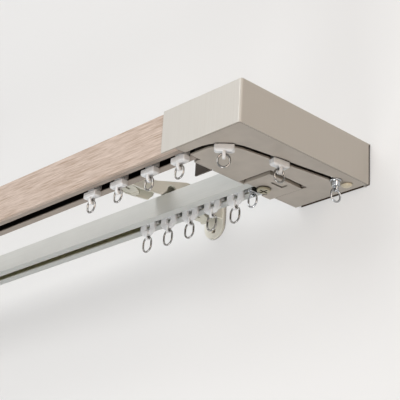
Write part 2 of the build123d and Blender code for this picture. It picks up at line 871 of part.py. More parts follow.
def lever():
    """Lock lever about its pin at the origin: nose under the rail's lip, tail towards the wall."""
    nose_y = -lever_pivot_setback + lever_nose_gap
    nose_top = lever_pivot_drop - rail_wall - run_gap
    tail_y = lever_tail_length
    tail_z = -lever_tail_drop
    lip_clear_y = nose_y + rear_lip_reach
    hub = lever_hub_radius
    outline = [
        (nose_y, nose_top),
        (lip_clear_y, nose_top),
        (-hub / 2, hub),
        (hub / 2, hub),
        (hub, 0),
        (tail_y, tail_z + lever_thickness),
        (tail_y + lever_thickness, tail_z + lever_thickness / 2),
        (tail_y + lever_thickness, tail_z - lever_thickness),
        (tail_y, tail_z - lever_thickness),
        (tail_y - lever_thickness / 2, tail_z),
        (0, -hub),
        (nose_y, nose_top - lever_thickness),
    ]
    side = flat(outline) - Circle(pin_radius + pin_running_gap)
    body = extrude(Plane.YZ * side, lever_width / 2, both=True)
    end_y = tail_y + 2 * lever_thickness
    half = lever_width / 2
    shield = [
        (-half, nose_y - 1),
        (half, nose_y - 1),
        (half, lever_waist),
        (lever_tip_width / 2, end_y),
        (-lever_tip_width / 2, end_y),
        (-half, lever_waist),
    ]
    depth = lever_tail_drop + 3 * lever_thickness + lever_hub_radius
    body &= extrude(Pos(0, 0, -depth) * flat(shield), 2 * depth)
    slot = Rectangle(lever_slot_width, lever_slot_length)
    slot_y = lever_hub_radius + lever_slot_length / 2 + 2
    body -= extrude(Pos(0, slot_y, -depth) * slot, 2 * depth)
    return body


def lever_pins():
    """Headed pins of all the levers, each riveted across one arm."""
    half = arm_width / 2
    pin = Cylinder(pin_radius, arm_width)
    for side in (-1, 1):
        head = extrude(RegularPolygon(pin_head_radius, pin_head_sides), pin_head_height)
        low = half if side > 0 else -half - pin_head_height
        pin += Pos(0, 0, low) * head
    pin = Rot(0, 90, 0) * pin
    return [
        Pos(x, y, pin_z) * pin
        for x in bracket_places
        for y in pin_places()
    ]


# Every piece at its place, by node name

def placed_pieces():
    """Dictionary of node name to its solid or solids."""
    pieces = {
        "front_rail": front_rail(),
        "front_fascia": front_fascia(),
        "rear_rail": rear_rail(),
    }

    # End caps with what they hold
    front_hook_x, front_hook_y = slant_point(hook_distance)
    front_turn = Rot(0, 0, return_turn)
    front_ring = ring(front_ring_width, front_ring_height)
    rear_ring = ring(rear_ring_width, rear_ring_height)
    rear_hook_x = end_x - rear_hook_inset
    front_hook_place = Pos(front_hook_x, front_hook_y, bottom_z) * front_turn
    rear_hook_place = Pos(rear_hook_x, rear_slot_y, bottom_z)
    right_end = {
        "cap_shell": cap_shell(),
        "cap_base": cap_base(),
        "return_track": return_track(),
        "joint_cover": joint_cover(),
        "clamp_screw": clamp_screw(),
        "hook_button": hook_button(),
        "front_end_hook": front_hook_place * front_end_hook(),
        "rear_end_hook": rear_hook_place * rear_end_hook(),
        "front_end_ring": Pos(front_hook_x, front_hook_y, front_eye_z) * front_turn * front_ring,
        "rear_end_ring": Pos(rear_hook_x, rear_slot_y, rear_hook_eye_z) * front_ring,
    }
    for name, solid in right_end.items():
        pieces["right_" + name] = solid
        pieces["left_" + name] = mirrored(solid)

    # Wall brackets
    plate, arm, latch = bracket_plate(), bracket_arm(), lever()
    for name, x in zip(("left", "centre", "right"), bracket_places):
        pieces[name + "_bracket_plate"] = Pos(x, 0, 0) * plate
        pieces[name + "_bracket_arm"] = Pos(x, 0, 0) * arm
        front_pin_y, rear_pin_y = pin_places()
        pieces[name + "_front_lever"] = Pos(x, front_pin_y, pin_z) * latch
        pieces[name + "_rear_lever"] = Pos(x, rear_pin_y, pin_z) * latch
    pieces["lever_pins"] = Compound(children=lever_pins())

    # Runners with their rings
    body = front_runner()
    places = [(end_x - inset, front_slot_y, 0.0) for inset in front_runner_insets]
    places.append((*bend_point(bend_runner_angle), bend_runner_angle))
    places.append((*slant_point(slant_runner_distance), return_turn))
    for number, (x, y, turn) in enumerate(places, 1):
        pieces[f"front_runner_{number}"] = Pos(x, y, bottom_z) * Rot(0, 0, turn) * body
        pieces[f"front_ring_{number}"] = Pos(x, y, front_eye_z) * Rot(0, 0, turn) * front_ring
    body = rear_runner()
    for number, inset in enumerate(rear_runner_insets, 1):
        x = end_x - inset
        pieces[f"rear_runner_{number}"] = Pos(x, rear_slot_y, bottom_z) * body
        pieces[f"rear_ring_{number}"] = Pos(x, rear_slot_y, rear_eye_z) * rear_ring
    return pieces


pieces = placed_pieces()
for node, solid in pieces.items():
    export_step(solid, f"parts/{node}.step")
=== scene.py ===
"""Dresses the double curtain track: finishes on the solids, smooth wire, hooks and runners."""
import json
import logging
from dataclasses import dataclass, field
from enum import Enum
from typing import Any, Callable

import bmesh
import bpy
import numpy as np
from mathutils import Matrix, Vector


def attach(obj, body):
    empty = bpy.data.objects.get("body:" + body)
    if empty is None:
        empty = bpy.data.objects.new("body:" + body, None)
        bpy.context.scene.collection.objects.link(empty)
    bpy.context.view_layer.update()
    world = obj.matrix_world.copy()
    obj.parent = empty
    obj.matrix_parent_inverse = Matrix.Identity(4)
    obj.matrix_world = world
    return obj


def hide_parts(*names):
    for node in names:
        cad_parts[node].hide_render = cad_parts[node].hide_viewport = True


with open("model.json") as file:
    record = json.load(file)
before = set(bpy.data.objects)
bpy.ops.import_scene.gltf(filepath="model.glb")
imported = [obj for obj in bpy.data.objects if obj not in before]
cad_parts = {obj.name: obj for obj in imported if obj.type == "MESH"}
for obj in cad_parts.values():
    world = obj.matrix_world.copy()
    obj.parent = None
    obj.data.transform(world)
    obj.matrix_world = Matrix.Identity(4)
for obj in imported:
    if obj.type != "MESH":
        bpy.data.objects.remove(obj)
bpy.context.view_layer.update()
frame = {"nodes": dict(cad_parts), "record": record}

# Names of types that come up often
Tree, Node, Socket = bpy.types.NodeTree, bpy.types.Node, bpy.types.NodeSocket
Material = bpy.types.Material
Pair = tuple[float, float]
Triple = tuple[float, float, float]
Array = np.ndarray

LOG = logging.getLogger("curtain_track")
MM = 0.001
BODY_OF = {
    node: body
    for body, members in frame["record"]["behaviour"]["bodies"].items()
    for node in members
}


# Places along the track, in millimetres, as the solids have them
END_X = 500.0
BOTTOM_Z = -21.0
FRONT_SLOT_Y = -121.4
REAR_SLOT_Y = -47.8
BEND_CENTRE = (450.3, -97.4)
BEND_RADIUS = 24.0
BEND_TURN = 81.0
FRONT_EYE_Z = -27.9
REAR_EYE_Z = -30.4
REAR_HOOK_EYE_Z = -25.1
RAIL_FLOOR = 1.2  # thickness of the rails' lower walls


class Slot(Enum):
    """Material slots of the record, passed along with new pieces but not read; their finish is
    given directly.
    """

    BRIGHT_STEEL = "bright_steel"
    RING_STEEL = "ring_steel"
    RUNNER = "runner_moulding"
    CREAM = "cream_moulding"


# Colour and node helpers

NOISE_LOW, NOISE_HIGH = 0.3, 0.7  # most of a noise lies between these
EDGE_SHADE = 0.2  # millimetres over which a box mask fades


def linear(code: str) -> tuple[float, float, float, float]:
    """Turns an sRGB hex colour into linear values.

    Args:
        code: six hex digits with a leading hash.

    Returns:
        Red, green, blue and full opacity for a Blender socket.
    """
    srgb = np.array([int(code[i:i + 2], 16) for i in (1, 3, 5)]) / 255.0
    rgb = np.where(srgb <= 0.04045, srgb / 12.92, ((srgb + 0.055) / 1.055) ** 2.4)
    return (*rgb.tolist(), 1.0)


def plug(tree: Tree, node: Node, inputs: dict[str | int, Any]) -> None:
    """Gives each named input of a node its value, or a link from another node's output."""
    for key, value in inputs.items():
        if isinstance(value, Socket):
            tree.links.new(value, node.inputs[key])
        else:
            node.inputs[key].default_value = value


def add_node(
    tree: Tree, kind: str, inputs: dict[str | int, Any] | None = None, **settings: Any
) -> Node:
    """Adds one node with its settings, values and links.

    Args:
        tree: node tree that gets the node.
        kind: the node's type name without its start, ShaderNode.
        inputs: a value, or another node's output socket, for each named input.
        settings: properties of the node itself.

    Returns:
        The new node.
    """
    node = tree.nodes.new("ShaderNode" + kind)
    for key, value in settings.items():
        setattr(node, key, value)
    plug(tree, node, inputs or {})
    return node


def empty_tree(owner: Material | bpy.types.World) -> Tree:
    """Node tree of a new material or world, without the nodes that it starts with."""
    owner.use_nodes = True
    owner.node_tree.nodes.clear()
    return owner.node_tree


def calculate(tree: Tree, operation: str, *values: Any) -> Socket:
    """Result of one sum on values or sockets."""
    return add_node(tree, "Math", dict(enumerate(values)), operation=operation).outputs[0]


def remap(
    tree: Tree, value: Any, low: float, high: float, to_low: float = 0.0, to_high: float = 1.0
) -> Socket:
    """Maps a value's range from low to high on another, and holds it within that."""
    limits = {"From Min": low, "From Max": high, "To Min": to_low, "To Max": to_high}
    return add_node(tree, "MapRange", {"Value": value, **limits}).outputs["Result"]


def mix(tree: Tree, factor: Any, first: Any, second: Any, data_type: str = "RGBA") -> Socket:
    """Mixes two colours, or two values where the type is FLOAT.

    Args:
        tree: node tree that gets the node.
        factor: share of the second, from 0 to 1.
        first: colour, value or socket.
        second: colour, value or socket.
        data_type: the node's own name for what it mixes.

    Returns:
        The mixture.
    """
    one, other, result = {"RGBA": (6, 7, 2), "FLOAT": (2, 3, 0)}[data_type]
    inputs = {"Factor": factor, one: first, other: second}
    return add_node(tree, "Mix", inputs, data_type=data_type).outputs[result]


def position(tree: Tree) -> Any:
    """X, Y and Z of the Object coordinates, by name."""
    place = add_node(tree, "TexCoord")
    return add_node(tree, "SeparateXYZ", {0: place.outputs["Object"]}).outputs


def noise(tree: Tree, size_mm: Triple, detail: float = 2.0, distortion: float = 0.0) -> Socket:
    """Noise in Object coordinates, of a grain size along each axis.

    Args:
        tree: node tree that gets the nodes.
        size_mm: grain along X, Y and Z in millimetres.
        detail: octaves.
        distortion: how far the noise bends itself.

    Returns:
        The noise value from 0 to 1.
    """
    place = add_node(tree, "TexCoord").outputs["Object"]
    scale = tuple(1.0 / (size * MM) for size in size_mm)
    vector = add_node(tree, "Mapping", {"Vector": place, "Scale": scale}).outputs["Vector"]
    inputs = {"Vector": vector, "Scale": 1.0, "Detail": detail, "Distortion": distortion}
    return add_node(tree, "TexNoise", inputs).outputs["Fac"]


def ramp(tree: Tree, factor: Socket, stops: list[tuple[float, str]]) -> Socket:
    """Colour ramp over a factor.

    Args:
        tree: node tree that gets the node.
        factor: value from 0 to 1.
        stops: places and sRGB colours, in order.

    Returns:
        The ramp's colour.
    """
    node = add_node(tree, "ValToRGB", {"Fac": factor})
    elements = node.color_ramp.elements
    while len(elements) < len(stops):
        elements.new(0.5)
    for element, (place, code) in zip(elements, stops):
        element.position = place
        element.color = linear(code)
    return node.outputs["Color"]


def spread(tree: Tree, factor: Socket, low: float, high: float) -> Socket:
    """Maps a noise's middle range to low and high."""
    return remap(tree, factor, NOISE_LOW, NOISE_HIGH, low, high)


def tinted(tree: Tree, colour: str, factor: Socket, low: float, high: float) -> Socket:
    """A colour whose brightness follows a noise, from a low share to a high one."""
    inputs = {"Color": linear(colour), "Value": spread(tree, factor, low, high)}
    return add_node(tree, "HueSaturation", inputs).outputs["Color"]


def relief(tree: Tree, height: Socket, depth_mm: float, strength: float) -> Socket:
    """Bump whose full height is a depth in millimetres."""
    inputs = {"Height": height, "Distance": depth_mm * MM, "Strength": strength}
    return add_node(tree, "Bump", inputs).outputs["Normal"]


def openness(
    tree: Tree, reach_mm: float, closed: float, free: float, alone: bool = False
) -> Socket:
    """How free a point stands: 0 where surfaces close round it, 1 in the open. It is the mask
    for painted shade.

    Args:
        tree: node tree that gets the nodes.
        reach_mm: how near another surface must be to count, in millimetres.
        closed: share of free directions at which the result is 0.
        free: share of free directions at which the result is 1.
        alone: whether only the piece's own surface counts, not its neighbours.

    Returns:
        The value from 0 to 1.
    """
    reach = {"Distance": reach_mm * MM}
    near = add_node(tree, "AmbientOcclusion", reach, samples=24, only_local=alone)
    return remap(tree, near.outputs["AO"], closed, free)


def inside(tree: Tree, limits: list[tuple[Socket, float, float]]) -> Socket:
    """Share of being on the full side of every limit.

    Args:
        tree: node tree that gets the nodes.
        limits: a value with the place of none and the place of full, in millimetres.

    Returns:
        The product of all shares, from 0 to 1.
    """
    total: Any = 1.0
    for value, none, full in limits:
        share = remap(tree, value, none * MM, full * MM)
        total = calculate(tree, "MULTIPLY", share, total)
    return total


# Finishes

@dataclass(frozen=True)
class Finish:
    """What every finish shares: a name for its real process, a colour and a roughness."""

    name: str
    colour: str
    roughness: float

    def material(self) -> Material:
        """Makes the finish's material once and returns it."""
        known = bpy.data.materials.get(self.name)
        if known is not None:
            return known
        material = bpy.data.materials.new(self.name)
        tree = empty_tree(material)
        inputs = {"Base Color": linear(self.colour), "Roughness": self.roughness}
        shader = add_node(tree, "BsdfPrincipled", inputs)
        add_node(tree, "OutputMaterial", {"Surface": shader.outputs["BSDF"]})
        self.dress(tree, shader)
        return material

    def dress(self, tree: Tree, shader: Node) -> None:
        """Adds this finish's own pattern to the plain shader."""

    def put_on(self, *nodes: str) -> None:
        """Gives the finish to CAD nodes."""
        for solid in (frame["nodes"][node] for node in nodes):
            for place in solid.material_slots:
                place.material = self.material()
            if not solid.material_slots:
                solid.data.materials.append(self.material())


@dataclass(frozen=True)
class OakFoil(Finish):
    """Printed oak foil under satin lacquer: streaks a millimetre wide, fine dark pores.

    The pores of real oak are about 0.2 mm wide. They are drawn twice as wide, so that
    they show at the distance of the photograph.
    """

    dark: str = "#a8917d"
    pale: str = "#d8c8bc"
    streak_share: float = 0.75

    def dress(self, tree: Tree, shader: Node) -> None:
        """Layers broad bands, fine streaks and pores along the strip."""
        bands = noise(tree, (60.0, 4.0, 4.0), detail=3.0, distortion=0.4)
        streaks = noise(tree, (15.0, 0.7, 0.7), detail=4.0, distortion=0.2)
        pores = noise(tree, (9.0, 0.45, 0.45), detail=1.0)
        grain = mix(tree, self.streak_share, bands, streaks, "FLOAT")
        stops = [(0.33, self.dark), (0.50, self.colour), (0.67, self.pale)]
        marks = remap(tree, pores, 0.58, 0.70, to_high=0.55)
        plug(tree, shader, {
            "Base Color": mix(tree, marks, ramp(tree, grain, stops), linear(self.dark)),
            "Roughness": spread(tree, streaks, 0.42, 0.56),
            "Normal": relief(tree, streaks, depth_mm=0.06, strength=0.5),
        })


@dataclass(frozen=True)
class BrushedMoulding(Finish):
    """ABS under a brushed metal-look film: faint upright lines, stronger on the front.

    Faces that look downward take a darker colour as painted shade, and its own narrow recesses a
    dark painted shade.
    """

    # darker colour of faces that look downward: painted shade
    downward_shade_colour: str = "#b1a99f"
    # colour of the painted shade in the moulding's own narrow recesses
    seam_shade: str = "#54483e"
    dark: str = "#beb9b2"
    pale: str = "#d2d0cb"
    fine_share: float = 0.35
    faint: float = 0.1
    strong: float = 0.5
    metallic: float = 0.1

    def dress(self, tree: Tree, shader: Node) -> None:
        """Lays upright brush lines in colour and gloss, the colour's fainter off the front;
        faces that look downward and its own narrow recesses get painted shade.
        """
        lines = noise(tree, (1.3, 1.3, 70.0), detail=3.0)
        fine = noise(tree, (0.5, 0.5, 18.0))
        brushed = mix(tree, self.fine_share, lines, fine, "FLOAT")
        stops = [(0.2, self.dark), (0.5, self.colour), (0.8, self.pale)]
        normal = add_node(tree, "NewGeometry").outputs["Normal"]
        faces = add_node(tree, "SeparateXYZ", {0: normal}).outputs
        front = remap(tree, faces["Y"], 0.0, -0.8, self.faint, self.strong)
        film = mix(tree, front, linear(self.colour), ramp(tree, brushed, stops))
        # painted shade: faces that look downward turn to the darker colour
        downward_shade = remap(tree, faces["Z"], -0.25, -0.75)
        skin = mix(tree, downward_shade, film, linear(self.downward_shade_colour))
        # painted shade: its own narrow recesses turn towards the dark colour
        free = openness(tree, reach_mm=3.0, closed=0.45, free=0.8, alone=True)
        plug(tree, shader, {
            "Base Color": mix(tree, free, linear(self.seam_shade), skin),
            "Roughness": spread(tree, fine, 0.36, 0.44),
            "Metallic": self.metallic,
        })


@dataclass(frozen=True)
class SatinMoulding(Finish):
    """Spark-textured plastic: a fine even grain of about a third of a millimetre."""

    grain_mm: float = 0.35
    cloud_mm: float = 14.0
    cloud: float = 0.06
    depth_mm: float = 0.02
    gloss_change: float = 0.05
    subsurface: float = 0.0
    subsurface_mm: float = 0.8
    # colour of the painted shade in narrow gaps and recesses; none if empty
    seam_shade: str = ""

    def dress(self, tree: Tree, shader: Node) -> None:
        """Adds the grain's relief, a faint clouding, a varied gloss and painted shade in narrow
        gaps and recesses.
        """
        grain = noise(tree, (self.grain_mm,) * 3)
        cloud = noise(tree, (self.cloud_mm,) * 3)
        colour = tinted(tree, self.colour, cloud, 1.0 - self.cloud, 1.0 + self.cloud)
        # painted shade: narrow gaps and recesses, also against other pieces, turn towards the
        # dark colour
        if self.seam_shade:
            free = openness(tree, reach_mm=3.0, closed=0.45, free=0.85)
            colour = mix(tree, free, linear(self.seam_shade), colour)
        low, high = self.roughness - self.gloss_change, self.roughness + self.gloss_change
        plug(tree, shader, {
            "Base Color": colour,
            "Roughness": spread(tree, grain, low, high),
            "Normal": relief(tree, grain, self.depth_mm, strength=0.5),
        })
        if self.subsurface:
            plug(tree, shader, {
                "Subsurface Weight": self.subsurface,
                "Subsurface Radius": (1.0, 1.0, 1.0),
                "Subsurface Scale": self.subsurface_mm * MM,
            })


@dataclass(frozen=True)
class ExtrudedMetal(Finish):
    """Drawn aluminium, anodised or coated: faint die lines that run the whole length.

    The channel that the runners slide in is darkened as painted shade.
    """

    metallic: float = 0.0
    line_mm: float = 0.8
    line_length_mm: float = 220.0
    depth_mm: float = 0.015
    cloud: float = 0.05
    gloss_change: float = 0.06
    # colour of the painted shade inside the slot's channel
    film: str = "#1c1815"
    channel_shade_from: float = -20.6
    channel_shade_full: float = -20.0
    channel_shade_top: float = -5.1
    channel_shade_y: float = 0.0
    channel_shade_half: float = 9.4

    def channel(self, tree: Tree) -> Socket:
        """Share of the painted shade: full inside the channel, none on the outside."""
        axes = position(tree)
        front, back = self.channel_shade_y - self.channel_shade_half, self.channel_shade_y + self.channel_shade_half
        return inside(tree, [
            (axes["Z"], self.channel_shade_from, self.channel_shade_full),
            (axes["Z"], self.channel_shade_top, self.channel_shade_top - EDGE_SHADE),
            (axes["Y"], front, front + EDGE_SHADE),
            (axes["Y"], back, back - EDGE_SHADE),
        ])

    def dress(self, tree: Tree, shader: Node) -> None:
        """Adds die lines along X, a slow clouding and painted shade in the channel."""
        lines = noise(tree, (self.line_length_mm, self.line_mm, self.line_mm), detail=3.0)
        cloud = noise(tree, (30.0, 12.0, 12.0))
        both = mix(tree, 0.5, lines, cloud, "FLOAT")
        colour = tinted(tree, self.colour, both, 1.0 - self.cloud, 1.0 + self.cloud)
        low, high = self.roughness - self.gloss_change, self.roughness + self.gloss_change
        plug(tree, shader, {
            # painted shade: the channel's inside takes the dark colour
            "Base Color": mix(tree, self.channel(tree), colour, linear(self.film)),
            "Roughness": spread(tree, lines, low, high),
            "Normal": relief(tree, lines, self.depth_mm, strength=0.4),
            "Metallic": self.metallic,
        })


@dataclass(frozen=True)
class Enamel(Finish):
    """Sprayed and baked enamel on pressed steel: low orange peel, slightly worn gloss."""

    peel_mm: float = 1.6
    cloud_mm: float = 18.0

    def dress(self, tree: Tree, shader: Node) -> None:
        """Adds the orange peel and a slow change of tone."""
        peel = noise(tree, (self.peel_mm,) * 3)
        cloud = noise(tree, (self.cloud_mm,) * 3)
        plug(tree, shader, {
            "Base Color": tinted(tree, self.colour, cloud, 0.96, 1.03),
            "Roughness": spread(tree, peel, self.roughness - 0.04, self.roughness + 0.05),
            "Normal": relief(tree, peel, depth_mm=0.03, strength=0.35),
        })


@dataclass(frozen=True)
class PlatedMetal(Finish):
    """Plated steel or zinc: a mirror with fine drawing marks and faint clouding."""

    mark_mm: float = 0.5
    cloud_mm: float = 4.0

    def dress(self, tree: Tree, shader: Node) -> None:
        """Makes it metal and varies its gloss."""
        marks = noise(tree, (self.mark_mm,) * 3, detail=3.0)
        cloud = noise(tree, (self.cloud_mm,) * 3, detail=1.0)
        plug(tree, shader, {
            "Base Color": tinted(tree, self.colour, cloud, 0.9, 1.06),
            "Roughness": spread(tree, marks, self.roughness * 0.7, self.roughness * 1.4),
            "Normal": relief(tree, marks, depth_mm=0.01, strength=0.25),
            "Metallic": 1.0,
        })


OAK_FOIL = OakFoil("oak_print_foil_satin", "#c6b4a7", 0.5)
CAP_SKIN = BrushedMoulding("brushed_metal_look_abs", "#c8c6c0", 0.4)
# The seam colours below are painted shade for narrow gaps and recesses.
BASE_PLASTIC = SatinMoulding("satin_textured_abs", "#b9b1a7", 0.5, seam_shade="#4a3f36")
# Dark guide moulding; on its tongue behind the front rail the dark colour also stands in as
# painted shade for the hollow there.
GUIDE_PLASTIC = SatinMoulding("dark_acetal_guide_and_painted_shade", "#4d443c", 0.5)
# Each rail's channel colour is painted shade inside its slot.
ANODISED = ExtrudedMetal(
    "bronze_anodised_aluminium", "#a3978c", 0.42, metallic=0.35, channel_shade_y=FRONT_SLOT_Y
)
WHITE_COAT = ExtrudedMetal(
    "white_powder_coated_aluminium", "#cfd1ce", 0.45,
    film="#b5b296", channel_shade_y=REAR_SLOT_Y, channel_shade_half=10.1,
)
CREAM_ENAMEL = Enamel("cream_enamel_on_steel", "#efede2", 0.4)
LEVER_PLASTIC = SatinMoulding("satin_moulded_acetal", "#d9d7ca", 0.45)
NATURAL_NYLON = SatinMoulding("natural_nylon_moulding", "#e6e8ea", 0.3, subsurface=0.3)
# seam colours: painted shade in narrow gaps and recesses
CREAM_PLASTIC = SatinMoulding("cream_moulded_plastic", "#ddd3ba", 0.3, seam_shade="#6a604c")
OLIVE_PLASTIC = SatinMoulding("olive_beige_moulded_plastic", "#b5af97", 0.35, seam_shade="#4c4838")
BRIGHT_PLATE = PlatedMetal("bright_chrome_plate", "#b4b6b8", 0.07)
WIRE_PLATE = PlatedMetal("nickel_plated_wire", "#93918e", 0.12)
PIN_PLATE = PlatedMetal("zinc_plated_pin", "#9c9c99", 0.3)


# Surfaces on a grid of two parameters

SHARP_ANGLE = 38.0  # degrees; edges sharper than this stay sharp
SAME_POINT = 1e-6  # metres within which points are merged
SCREW_SPOKES = 120
EYE_SPOKES = 48
LEAST = 1e-6  # keeps a division off zero


@dataclass
class Patch:
    """Grid of points, rows by columns, in millimetres.

    Columns close on themselves. Rows do too, or else each end closes on its middle point.
    """

    points: Array
    closed_rows: bool = False

    def ready(self) -> Array:
        """The grid, with a row on the middle point at each open end."""
        if self.closed_rows:
            return self.points
        first, last = (
            np.repeat(row.mean(1, keepdims=True), row.shape[1], 1)
            for row in (self.points[:1], self.points[-1:])
        )
        return np.concatenate([first, self.points, last])

    def faces(self, count: int, width: int) -> Array:
        """Index quads of a grid of that many rows and columns."""
        rows = np.arange(count if self.closed_rows else count - 1)
        row, column = np.meshgrid(rows, np.arange(width), indexing="ij")
        below = (row + 1) % count
        beside = (column + 1) % width
        near, far = row * width, below * width
        corners = [near + column, near + beside, far + beside, far + column]
        return np.stack(corners, -1).reshape(-1, 4)

    def moved(self, change: Callable[[Array], Array]) -> "Patch":
        """The same patch with its points changed by a function of the whole array."""
        return Patch(change(self.points), self.closed_rows)

    def shifted(self, z: float, x: float = 0.0) -> "Patch":
        """The same patch moved up, and along X."""
        return self.moved(lambda points: points + np.array([x, 0.0, z]))


@dataclass(frozen=True)
class Place:
    """Where a piece stands: a point in millimetres and a turn about Z in degrees."""

    x: float
    y: float
    z: float
    turn: float = 0.0

    def put(self, points: Array) -> Array:
        """Turns points about Z and moves them there."""
        angle = np.radians(self.turn)
        c, s = np.cos(angle), np.sin(angle)
        turn = np.array([[c, s, 0], [-s, c, 0], [0, 0, 1]])
        return points @ turn + np.array([self.x, self.y, self.z])

    def at(self, z: float) -> "Place":
        """The same place at another height."""
        return Place(self.x, self.y, z, self.turn)

    def mirrored(self) -> "Place":
        """The same place at the track's other end."""
        return Place(-self.x, self.y, self.z, -self.turn)


def new_object(name: str, data: bpy.types.ID) -> bpy.types.Object:
    """Puts an object with this data in the scene."""
    made = bpy.data.objects.new(name, data)
    bpy.context.scene.collection.objects.link(made)
    return made


def make_piece(
    node: str, ending: str, patches: list[Patch], place: Place, finish: Finish
) -> None:
    """Builds one mesh from patches, dresses it and puts it in place of a CAD node.

    Args:
        node: CAD node that it stands for, on whose body it rides.
        ending: what its name has after the node's.
        patches: its surfaces, about the place's own origin.
        place: where it stands.
        finish: its finish.
    """
    points, quads, start = [], [], 0
    for patch in patches:
        grid = patch.ready()
        quads.append(patch.faces(*grid.shape[:2]) + start)
        points.append(grid.reshape(-1, 3))
        start += grid.shape[0] * grid.shape[1]
    places = place.put(np.concatenate(points)) * MM
    corners = np.concatenate(quads)
    name = node + ending
    mesh = bpy.data.meshes.new(name)
    mesh.from_pydata(places.tolist(), [], corners.tolist())
    edit = bmesh.new()
    edit.from_mesh(mesh)
    bmesh.ops.remove_doubles(edit, verts=edit.verts, dist=SAME_POINT)
    bmesh.ops.recalc_face_normals(edit, faces=edit.faces)
    edit.to_mesh(mesh)
    edit.free()
    mesh.polygons.foreach_set("use_smooth", np.ones(len(mesh.polygons), bool))
    mesh.set_sharp_from_angle(angle=np.radians(SHARP_ANGLE))
    mesh.materials.append(finish.material())
    piece = new_object(name, mesh)
    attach(piece, BODY_OF[node])
    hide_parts(node)
    LOG.info("%s: %d faces", name, len(mesh.polygons))


def circles(radius: Array, height: Array, sides: int) -> Array:
    """Rows of points about Z, each row a full circle of a radius at a height."""
    angle = np.arange(sides) * 2 * np.pi / sides
    x, y = radius[:, None] * np.cos(angle), radius[:, None] * np.sin(angle)
    return np.stack([x, y, np.repeat(height[:, None], sides, 1)], -1)


def lathe(profile: list[Pair], sides: int) -> Patch:
    """Surface of revolution about Z: a profile of radius and height turned a full circle."""
    return Patch(circles(*np.array(profile, float).T, sides))


def arc(centre: Pair, radius: float, start: float, end: float, steps: int) -> list[Pair]:
    """Points of an arc in a profile, from one angle to another in degrees."""
    angle = np.radians(np.linspace(start, end, steps))
    xs = centre[0] + radius * np.cos(angle)
    zs = centre[1] + radius * np.sin(angle)
    return list(zip(xs.tolist(), zs.tolist()))


def rounded_block(
    size: Triple, radius: float, steps: int = 4, levels: tuple[float, ...] = ()
) -> Patch:
    """Box with rounded edges and corners about the origin.

    A sphere's grid is cut in eight and the eighths are pushed out to the box's corners:
    point = sign * (half size - radius) + radius * normal. Levels add rows at heights.

    Args:
        size: length along X, Y and Z.
        radius: of every edge.
        steps: divisions of a quarter turn.
        levels: heights of extra rows between the rounded ends.

    Returns:
        The closed patch.
    """
    half = np.array(size) / 2 - radius
    quarter = np.linspace(0, np.pi / 2, steps + 1)
    around = np.concatenate([quarter + k * np.pi / 2 for k in range(4)])
    sign_x = np.repeat([1, -1, -1, 1], steps + 1)
    sign_y = np.repeat([1, 1, -1, -1], steps + 1)
    up = np.concatenate([quarter - np.pi / 2, np.zeros(len(levels)), quarter])
    base = np.concatenate([
        np.full(steps + 1, -half[2]), np.array(levels, float), np.full(steps + 1, half[2])
    ])
    x = sign_x * half[0] + radius * np.cos(up)[:, None] * np.cos(around)
    y = sign_y * half[1] + radius * np.cos(up)[:, None] * np.sin(around)
    z = np.repeat((base + radius * np.sin(up))[:, None], len(around), 1)
    return Patch(np.stack([x, y, z], -1))


def holed_plate(
    inner: Array, outer: Array, thickness: float, radius: float, steps: int = 3
) -> Patch:
    """Flat plate across X between a hole's outline and its own outline, with rounded edges.

    Round the section, each corner is a quarter circle, as in a rounded rectangle whose
    length is the distance from the hole to the rim at that point of the outline.

    Args:
        inner: hole's points as Y and Z, in order.
        outer: rim's points, one for each of the hole's.
        thickness: of the plate, along X.
        radius: of the section's four corners.
        steps: divisions of each corner.

    Returns:
        The ring-shaped patch, closed both ways.
    """
    reach = outer - inner
    length = np.linalg.norm(reach, axis=1, keepdims=True)
    along = reach / length
    quarter = np.linspace(0, np.pi / 2, steps + 1)
    turn = np.concatenate([quarter + k * np.pi / 2 for k in range(4)])
    far = np.repeat([1, 0, 0, 1], steps + 1)
    side = np.repeat([1, 1, -1, -1], steps + 1)
    shift = far * (length - 2 * radius) + radius + radius * np.cos(turn)
    x = side * (thickness / 2 - radius) + radius * np.sin(turn)
    yz = inner[:, None, :] + along[:, None, :] * shift[:, :, None]
    xs = np.broadcast_to(x, shift.shape)
    return Patch(np.concatenate([xs[:, :, None], yz], -1), closed_rows=True)


def wire_loop(
    width: float, height: float, radius: float, steps: int = 20, sides: int = 14
) -> Patch:
    """Closed wire ring in the XZ plane, hung from its own top at the origin.

    Its middle line is two half circles joined by short straight sides, and a circle of
    the wire's radius is carried along it.

    Args:
        width: over the wire, along X.
        height: over the wire, along Z.
        radius: of the wire.
        steps: divisions of each half circle.
        sides: points round the wire.

    Returns:
        The ring-shaped patch, closed both ways.
    """
    bend = width / 2 - radius
    angle = np.linspace(0, np.pi, steps)
    turned = np.concatenate([angle, angle + np.pi])
    middle = np.concatenate([
        np.full(steps, -bend), np.full(steps, -height + 2 * radius + bend)
    ])
    out = np.stack([np.cos(turned), np.zeros_like(turned), np.sin(turned)], -1)
    line = bend * out + np.array([0, 0, 1]) * middle[:, None]
    round_wire = np.arange(sides) * 2 * np.pi / sides
    section = (
        np.cos(round_wire)[:, None] * out[:, None, :]
        + np.sin(round_wire)[:, None] * np.array([0.0, 1.0, 0.0])
    )
    return Patch(line[:, None, :] + radius * section, closed_rows=True)


